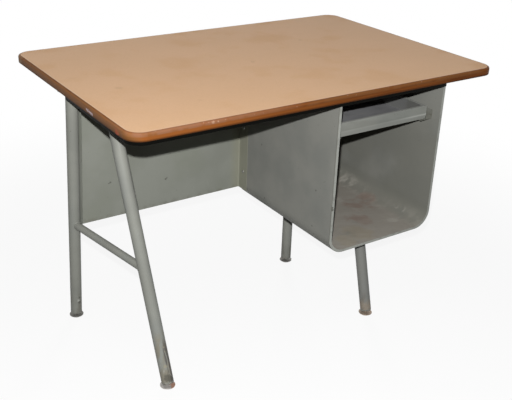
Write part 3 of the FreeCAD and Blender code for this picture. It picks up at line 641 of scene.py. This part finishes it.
# core: pressed wood chips, seen only at the screw holes
coreLook = {
    "wood": "#997D58", "light": "#B49B78", "dark": "#644A2F",
    "chips": {"sizeMm": 4, "low": 0.36, "high": 0.64, "stretch": (1, 0.5, 1)},
    "darks": {"sizeMm": 6, "low": 0.58, "high": 0.70},
    "roughness": (0.75, 0.92), "reliefMm": 0.25,
}


def chipCore(look):
    finish, tree, where = newFinish("pressedChipCore")
    chips = mottle(tree, where, **look["chips"])
    darks = mottle(tree, where, **look["darks"])
    layers = [(look["light"], chips, 0.8), (look["dark"], darks, 0.6)]
    close(tree, stack(tree, look["wood"], layers), chips, chips, look)
    return finish


# underside: plain brown balancing sheet, matt, with faint press lines and dusty patches
backerLook = {
    "brown": "#433223", "line": "#523F2E", "dust": "#625242",
    "lines": {"sizeMm": 5, "low": 0.40, "high": 0.66, "stretch": (0.03, 1, 1)},
    "dusts": {"sizeMm": 110, "low": 0.46, "high": 0.68},
    "roughness": (0.55, 0.75), "reliefMm": 0.05,
}


def brownBacker(look):
    finish, tree, where = newFinish("brownBackerSheet")
    lines = mottle(tree, where, **look["lines"])
    dust = mottle(tree, where, **look["dusts"])
    layers = [(look["line"], lines, 0.6), (look["dust"], dust, 0.35)]
    close(tree, stack(tree, look["brown"], layers), dust, lines, look)
    return finish


enamelSheet = stovedEnamel("greyEnamelSheet", enamelLook, panelLook, panelWear)
enamelPedestal = stovedEnamel("greyEnamelPedestal", enamelLook, pedestalLook, pedestalWear)
enamelTray = stovedEnamel("greyEnamelTray", enamelLook, trayLook, trayWear)
enamelRunner = stovedEnamel("greyEnamelRunner", enamelLook, runnerLook, runnerWear)
enamelTube = stovedEnamel("greyEnamelTube", enamelLook, legLook, legWear)
zinc = dullZinc(zincLook)
corners = ("rear_left", "front_left", "rear_right", "front_right")
dress(tanLaminate(laminateLook), "top_laminate")
dress(varnishedEdge(edgeLook), "top_edge_band")
dress(chipCore(coreLook), "top_board")
dress(brownBacker(backerLook), "top_backing_sheet")
dress(enamelSheet, "modesty_panel", "pedestal_back", "left_leg_plate", "leg_bearer")
dress(enamelPedestal, "pedestal_shell")
dress(enamelTray, "pencil_tray")
dress(enamelRunner, "left_tray_runner", "right_tray_runner")
dress(enamelTube, "left_stretcher", *[corner + "_leg" for corner in corners])
dress(agedNickel(glideLook), *[corner + "_glide" for corner in corners])
dress(scuffedNylon(nylonLook), *[corner + "_glide_plug" for corner in corners])
dress(zinc, "left_tray_keeper", "right_tray_keeper", "top_screws", "modesty_screws")
print("finishes on", len(nodes), "nodes")


# modelling helpers

squareOn = 0.9  # a face looks along an axis when its normal has more than this along it
smoothBelow = math.radians(35)


def startPiece():
    if bpy.context.object and bpy.context.object.mode != "OBJECT":
        bpy.ops.object.mode_set(mode="OBJECT")
    bpy.ops.object.select_all(action="DESELECT")


def pick(piece, test):
    # selects the faces whose centre and normal pass the test
    bpy.ops.object.mode_set(mode="EDIT")
    bpy.ops.mesh.select_mode(type="FACE")
    bpy.ops.mesh.select_all(action="DESELECT")
    bpy.ops.object.mode_set(mode="OBJECT")
    for face in piece.data.polygons:
        face.select = test(face.center, face.normal)
    bpy.ops.object.mode_set(mode="EDIT")


def pull(shift):
    bpy.ops.mesh.extrude_region_move(TRANSFORM_OT_translate={"value": shift})


def settle(piece, matrix):
    # puts a piece in its place and leaves its object at the origin
    bpy.ops.object.mode_set(mode="OBJECT")
    piece.matrix_world = matrix
    bpy.ops.object.transform_apply(location=True, rotation=True, scale=True)


def finishPiece(piece, name, finish, replaced=None):
    piece.name = name
    piece.data.name = name
    piece.data.materials.clear()
    piece.data.materials.append(finish)
    bpy.ops.object.shade_smooth_by_angle(angle=smoothBelow)
    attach(piece, "desk")
    if replaced:
        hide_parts(replaced)


# slotted pan-head screws in place of the plain ones
screwLook = {
    "headMm": 9.0, "headHeightMm": 2.6, "sides": 28, "domeMm": 1.4, "domeSteps": 4,
    "shankMm": 4.2, "tipMm": 3, "tipTaper": 0.15,
    "slotMm": 1.1, "slotDepthMm": 1.2, "slotReach": 1.25, "slotClearMm": 0.5,
    "woodMm": 16, "tappingMm": 9, "turnStep": 37,
    "underTop": [(x, y, 736.8) for x in (29, 398) for y in (-335, -141.5, 52)]
    + [(-576.32, 62.76, 733), (-555.39, -60.32, 733), (-534.46, -183.4, 733)]
    + [(-515.54, 114, 736.8), (-275.27, 114, 736.8), (-35, 114, 736.8)],
    "onWall": [(13.8, 75.8, z) for z in (668, 516, 364)],
    "onLeg": [(-553.87, 40.54, 668), (-555.97, 52.86, 516), (-558.06, 65.18, 364)],
    "legSide": (-0.9859, -0.1676, 0),
}


def screw(look, lengthMm):
    startPiece()
    head, height = look["headMm"] / 2000, look["headHeightMm"] / 1000
    sizes = {"vertices": look["sides"], "radius": head, "depth": height}
    bpy.ops.mesh.primitive_cylinder_add(location=(0, 0, -height / 2), **sizes)
    piece = bpy.context.object
    bpy.ops.object.transform_apply(location=True)
    pick(piece, lambda centre, normal: normal.z < -squareOn)
    bpy.ops.mesh.bevel(offset=look["domeMm"] / 1000, segments=look["domeSteps"], affect="EDGES")
    pick(piece, lambda centre, normal: normal.z > squareOn)
    bpy.ops.mesh.inset(thickness=head - look["shankMm"] / 2000)
    pull((0, 0, (lengthMm - look["tipMm"]) / 1000))
    pull((0, 0, look["tipMm"] / 1000))
    bpy.ops.transform.resize(value=(look["tipTaper"], look["tipTaper"], 1))
    bpy.ops.object.mode_set(mode="OBJECT")
    depth, clear = look["slotDepthMm"] / 1000, look["slotClearMm"] / 1000
    bpy.ops.mesh.primitive_cube_add(size=1, location=(0, 0, depth / 2 - height - clear))
    blade = bpy.context.object
    reach = look["headMm"] * look["slotReach"] / 1000
    blade.scale = (reach, look["slotMm"] / 1000, depth + 2 * clear)
    slot = piece.modifiers.new("slot", "BOOLEAN")
    slot.operation = "DIFFERENCE"
    slot.object = blade
    bpy.context.view_layer.objects.active = piece
    bpy.ops.object.modifier_apply(modifier="slot")
    bpy.data.objects.remove(blade)
    return piece


def screwSet(name, replaced, look, lengthMm, seats):
    master = screw(look, lengthMm)
    copies = []
    for number, (seat, way) in enumerate(seats):
        startPiece()
        master.select_set(True)
        bpy.context.view_layer.objects.active = master
        bpy.ops.object.duplicate()
        turn = Vector(way).to_track_quat("Z", "Y").to_matrix().to_4x4()
        spin = Matrix.Rotation(math.radians(number * look["turnStep"]), 4, "Z")
        settle(bpy.context.object, Matrix.Translation(mm(*seat)) @ turn @ spin)
        copies.append(bpy.context.object)
    bpy.data.objects.remove(master)
    startPiece()
    for copy in copies:
        copy.select_set(True)
    bpy.context.view_layer.objects.active = copies[0]
    bpy.ops.object.join()
    finishPiece(bpy.context.object, name, zinc, replaced)


underTop = [(seat, (0, 0, 1)) for seat in screwLook["underTop"]]
onPanel = [(seat, (1, 0, 0)) for seat in screwLook["onWall"]]
onPanel += [(seat, screwLook["legSide"]) for seat in screwLook["onLeg"]]
screwSet("top_screws_slotted", "top_screws", screwLook, screwLook["woodMm"], underTop)
screwSet("modesty_screws_slotted", "modesty_screws", screwLook, screwLook["tappingMm"], onPanel)
print("screws:", len(underTop) + len(onPanel))


# weld beads where the tubes meet each other and the plates
weldLook = {
    "leftFoot": (-581, 90.3), "leftToe": 9.65, "leftSpan": 461, "rearLean": 4.7, "frontLean": 16.65,
    "rightFoot": (181, 40), "rightToe": 3.2, "rightSpan": 406, "rightLean": 14.2, "pivotMm": 16,
    "legMm": 17, "legGapMm": 0.4, "stretcherMm": 11, "stretcherGapMm": 0.3, "stretcherHeight": 327,
    "plateUnder": 733, "bearerUnder": 266.5,
    "plateBeadMm": 2.2, "bearerBeadMm": 1.4, "saddleBeadMm": 1.7, "saddleStretch": 1.08,
    "ripples": 20, "rippleSteps": 4, "beadSides": 10, "rippleShare": 0.5, "rippleRise": 1 / 4.5,
    "uneven": 1 / 14, "unevenSeed": 4,
}


def framePoint(foot, toe, along, height):
    # a point of a leg frame: along runs from the rear foot to the front one
    turn = math.radians(toe)
    return mm(foot[0] + math.sin(turn) * along, foot[1] - math.cos(turn) * along, height)


def leanShift(lean, height, pivot):
    return math.tan(math.radians(lean)) * (height - pivot)


def beadRing(radiusMm, beadMm, look):
    # a ring with the overlapping ripples of a hand-laid weld
    startPiece()
    bead = beadMm / 1000
    sizes = {"major_radius": radiusMm / 1000, "minor_radius": bead}
    steps, sides = look["ripples"] * look["rippleSteps"], look["beadSides"]
    bpy.ops.mesh.primitive_torus_add(major_segments=steps, minor_segments=sides, **sizes)
    ring = bpy.context.object
    step = 2 * math.pi / look["ripples"]
    raised = step * look["rippleShare"]
    pick(ring, lambda centre, normal: (math.atan2(centre.y, centre.x) % step) < raised)
    bpy.ops.transform.shrink_fatten(value=bead * look["rippleRise"])
    bpy.ops.mesh.select_all(action="SELECT")
    bpy.ops.transform.vertex_random(offset=bead * look["uneven"], seed=look["unevenSeed"])
    bpy.ops.object.mode_set(mode="OBJECT")
    return ring


def topBead(name, foot, toe, along, lean, height, beadMm, look):
    # a ring round the top of a leg, drawn out as far as the leg leans
    ring = beadRing(look["legMm"] + look["legGapMm"], beadMm, look)
    stretch = Matrix.Diagonal((1, 1 / math.cos(math.radians(lean)), 1, 1))
    turn = Matrix.Rotation(math.radians(toe), 4, "Z")
    seat = framePoint(foot, toe, along, height - beadMm / 2)
    settle(ring, Matrix.Translation(seat) @ turn @ stretch)
    finishPiece(ring, name, enamelTube)


def saddleBead(name, front, look):
    # a ring stood on edge and bent round the side of the leg it is welded to
    ring = beadRing(look["stretcherMm"] + look["stretcherGapMm"], look["saddleBeadMm"], look)
    lean = look["frontLean"] if front else -look["rearLean"]
    start = look["leftSpan"] if front else 0
    side = -1 if front else 1
    upright = math.cos(math.radians(lean))
    legSide = look["legMm"] + look["legGapMm"]
    bpy.ops.object.mode_set(mode="EDIT")
    bpy.ops.mesh.select_all(action="SELECT")
    bpy.ops.transform.rotate(value=math.pi / 2, orient_axis="X", center_override=(0, 0, 0))
    bpy.ops.transform.resize(value=(look["saddleStretch"], 1, 1 / upright))
    bpy.ops.object.mode_set(mode="OBJECT")
    bend = ring.modifiers.new("saddle", "SIMPLE_DEFORM")
    bend.deform_method = "BEND"
    bend.deform_axis = "Z"
    bend.angle = side * ring.dimensions.x * 1000 / legSide
    bpy.ops.object.modifier_apply(modifier="saddle")
    axis = start - leanShift(lean, look["stretcherHeight"], look["pivotMm"])
    along = axis + side * legSide / upright
    seat = framePoint(look["leftFoot"], look["leftToe"], along, look["stretcherHeight"])
    turn = Matrix.Rotation(math.radians(look["leftToe"]), 4, "Z")
    tilt = Matrix.Rotation(-math.radians(lean), 4, "X")
    settle(ring, Matrix.Translation(seat) @ turn @ tilt)
    finishPiece(ring, name, enamelTube)


def weldBeads(look):
    left, right = (look["leftFoot"], look["leftToe"]), (look["rightFoot"], look["rightToe"])
    plate = (look["plateUnder"], look["plateBeadMm"], look)
    bearer = (look["bearerUnder"], look["bearerBeadMm"], look)
    rearLean, frontLean, rightLean = look["rearLean"], look["frontLean"], look["rightLean"]
    rearTop = leanShift(rearLean, look["plateUnder"], look["pivotMm"])
    frontTop = look["leftSpan"] - leanShift(frontLean, look["plateUnder"], look["pivotMm"])
    rightTop = look["rightSpan"] - leanShift(rightLean, look["bearerUnder"], look["pivotMm"])
    topBead("rear_left_plate_weld", *left, rearTop, rearLean, *plate)
    topBead("front_left_plate_weld", *left, frontTop, frontLean, *plate)
    topBead("rear_right_bearer_weld", *right, 0, 0, *bearer)
    topBead("front_right_bearer_weld", *right, rightTop, rightLean, *bearer)
    saddleBead("stretcher_rear_weld", False, look)
    saddleBead("stretcher_front_weld", True, look)


weldBeads(weldLook)
print("weld beads: 6")


# dark bar under the edge, from the rear left leg round the corner to the pedestal: steel whose
# near-black colour is painted shade, lost in the shadow of the top, which falls lower by the bar's
# depth
barLook = {
    "rightX": 402, "cornerX": -557, "cornerY": -352, "radiusMm": 43, "tailMm": 356, "turns": 12,
    "topZ": 737.9, "thickMm": 4.5, "deepMm": 9.3, "roundMm": 0.8, "roundSteps": 2,
    "black": "#0A0A08", "rubbed": "#151410",
    "rubs": {"sizeMm": 14, "low": 0.56, "high": 0.74, "stretch": (0.2, 1, 1)},
    "peel": {"sizeMm": 3.2, "low": 0.30, "high": 0.70, "detail": 1.0},
    "roughness": (0.50, 0.65), "reliefMm": 0.04, "gloss": 0.02,
}


def shadeBlackEnamel(look):
    finish, tree, where = newFinish("shadeBlackBar")
    rubs = mottle(tree, where, **look["rubs"])
    peel = mottle(tree, where, **look["peel"])
    color = stack(tree, look["black"], [(look["rubbed"], rubs, 0.5)])
    close(tree, color, rubs, peel, look, **{"Specular IOR Level": look["gloss"]})
    return finish


def stiffeningBar(look):
    startPiece()
    middleY = look["cornerY"] - look["radiusMm"] + look["thickMm"] / 2
    middleZ = look["topZ"] - look["deepMm"] / 2
    seat = mm(look["rightX"], middleY, middleZ)
    bpy.ops.mesh.primitive_plane_add(size=1, location=seat, rotation=(0, math.pi / 2, 0))
    bar = bpy.context.object
    bar.scale = (*mm(look["deepMm"], look["thickMm"]), 1)
    bpy.ops.object.transform_apply(location=True, rotation=True, scale=True)
    bpy.ops.object.mode_set(mode="EDIT")
    bpy.ops.mesh.select_all(action="SELECT")
    pull(mm(look["cornerX"] - look["rightX"], 0, 0))
    centre = mm(look["cornerX"], look["cornerY"], 0)
    step = math.pi / 2 / look["turns"]
    for turn in range(look["turns"]):
        pull((0, 0, 0))
        bpy.ops.transform.rotate(value=step, orient_axis="Z", center_override=centre)
    pull(mm(0, look["tailMm"], 0))
    bpy.ops.mesh.select_all(action="SELECT")
    bpy.ops.mesh.remove_doubles()
    bpy.ops.mesh.normals_make_consistent(inside=False)
    bpy.ops.object.mode_set(mode="OBJECT")
    soften = bar.modifiers.new("soften", "BEVEL")
    soften.width = look["roundMm"] / 1000
    soften.segments = look["roundSteps"]
    bpy.ops.object.modifier_apply(modifier="soften")
    finishPiece(bar, "front_stiffening_bar", shadeBlackEnamel(look))


stiffeningBar(barLook)
print("stiffening bar: 1")


# camera: the photograph was taken from the front left, well above the top
cameraLook = {
    "place": (-1.332, -1.971, 1.422), "azimuth": -34.40, "elevation": 25.34, "roll": 2.01,
    "lens": 57.16, "sensorMm": 36, "reachM": 200,
}


def addCamera(look):
    azimuth, elevation, roll = [math.radians(look[key]) for key in ("azimuth", "elevation", "roll")]
    level = math.cos(elevation)
    back = Vector((math.sin(azimuth) * level, -math.cos(azimuth) * level, math.sin(elevation)))
    side = Vector((0, 0, 1)).cross(back).normalized()
    rise = back.cross(side)
    across = side * math.cos(roll) + rise * math.sin(roll)
    upward = rise * math.cos(roll) - side * math.sin(roll)
    turn = Matrix((across, upward, back)).transposed().to_4x4()
    bpy.ops.object.camera_add()
    camera = bpy.context.object
    camera.matrix_world = Matrix.Translation(look["place"]) @ turn
    camera.data.sensor_fit = "HORIZONTAL"
    camera.data.sensor_width = look["sensorMm"]
    camera.data.lens = look["lens"]
    camera.data.clip_end = look["reachM"]
    scene.camera = camera


startPiece()
addCamera(cameraLook)
print("camera set")


# light: one lamp just above the camera, wide soft ones overhead and behind, and a dim even
# surround; the one behind is left out of reflections, so that it draws no streak across the top
lightLook = {
    "lamp": {
        "place": (-1.334, -1.928, 1.530), "aim": (0.0, -0.05, 0.45), "size": 0.03, "power": 69,
        "mirrored": True,
    },
    "overhead": {
        "place": (-0.4, -0.1, 3.1), "aim": (-0.1, 0.1, 0.7), "size": 2.6, "power": 21,
        "mirrored": True,
    },
    "behind": {
        "place": (1.9, 2.75, 0.55), "aim": (0.1, 0.05, 0.45), "size": 1.1, "power": 102,
        "mirrored": False,
    },
}
surroundLook = {"white": (1, 1, 1, 1), "strength": 0.05}


def addLamp(name, look):
    bpy.ops.object.light_add(type="AREA", location=look["place"])
    lamp = bpy.context.object
    lamp.name = name
    way = Vector(look["aim"]) - Vector(look["place"])
    lamp.rotation_euler = way.to_track_quat("-Z", "Y").to_euler()
    lamp.data.shape = "DISK"
    lamp.data.size = look["size"]
    lamp.data.energy = look["power"]
    lamp.visible_glossy = look["mirrored"]


def seenDirectly(tree):
    # 1 for what the camera sees, straight, mirrored or through glass
    path = addNode(tree, "LightPath")
    seen = path.outputs["Is Camera Ray"]
    for name in ("Is Glossy Ray", "Is Transmission Ray"):
        either = {0: seen, 1: path.outputs[name]}
        seen = addNode(tree, "Math", either, operation="MAXIMUM").outputs[0]
    return seen


def addSurround(look):
    world = bpy.data.worlds.new("surround")
    scene.world = world
    world.use_nodes = True
    tree = world.node_tree
    tree.nodes.clear()
    level = addNode(tree, "MapRange", {"Value": seenDirectly(tree), "To Min": look["strength"]})
    sky = addNode(tree, "Background", {"Color": look["white"], "Strength": level.outputs[0]})
    addNode(tree, "OutputWorld", {"Surface": sky.outputs[0]})


# floor: plain and pale, white to the camera but still holding the shadow
floorLook = {
    "size": 40, "nearM": 0.8, "farM": 2.0, "nearGlow": 0.88,
    "shown": "#E3E3E3", "bounced": "#4B4B49", "white": (1, 1, 1, 1),
}


def addFloor(look):
    bpy.ops.mesh.primitive_plane_add(size=look["size"])
    floor = bpy.context.object
    floor.name = "pale_floor"
    finish, tree, where = newFinish("paleFloor")
    away = addNode(tree, "VectorMath", {0: where}, operation="LENGTH").outputs["Value"]
    reach = {"Value": away, "From Min": look["nearM"], "From Max": look["farM"]}
    reach["To Min"] = look["nearGlow"]
    glow = addNode(tree, "MapRange", reach, interpolation_type="SMOOTHSTEP").outputs[0]
    seen = seenDirectly(tree)
    tones = {mixAmount: seen, mixUnder: paint(look["bounced"]), mixOver: paint(look["shown"])}
    tone = addNode(tree, "Mix", tones, data_type="RGBA").outputs[2]
    matt = addNode(tree, "BsdfDiffuse", {"Color": tone})
    white = addNode(tree, "Emission", {"Color": look["white"], "Strength": 1.0})
    share = addNode(tree, "Math", {0: seen, 1: glow}, operation="MULTIPLY").outputs[0]
    blend = addNode(tree, "MixShader", {0: share, 1: matt.outputs[0], 2: white.outputs[0]})
    addNode(tree, "OutputMaterial", {"Surface": blend.outputs[0]})
    floor.data.materials.append(finish)


for lampName, lampLook in lightLook.items():
    addLamp(lampName, lampLook)
addSurround(surroundLook)
addFloor(floorLook)
print("light and floor set")
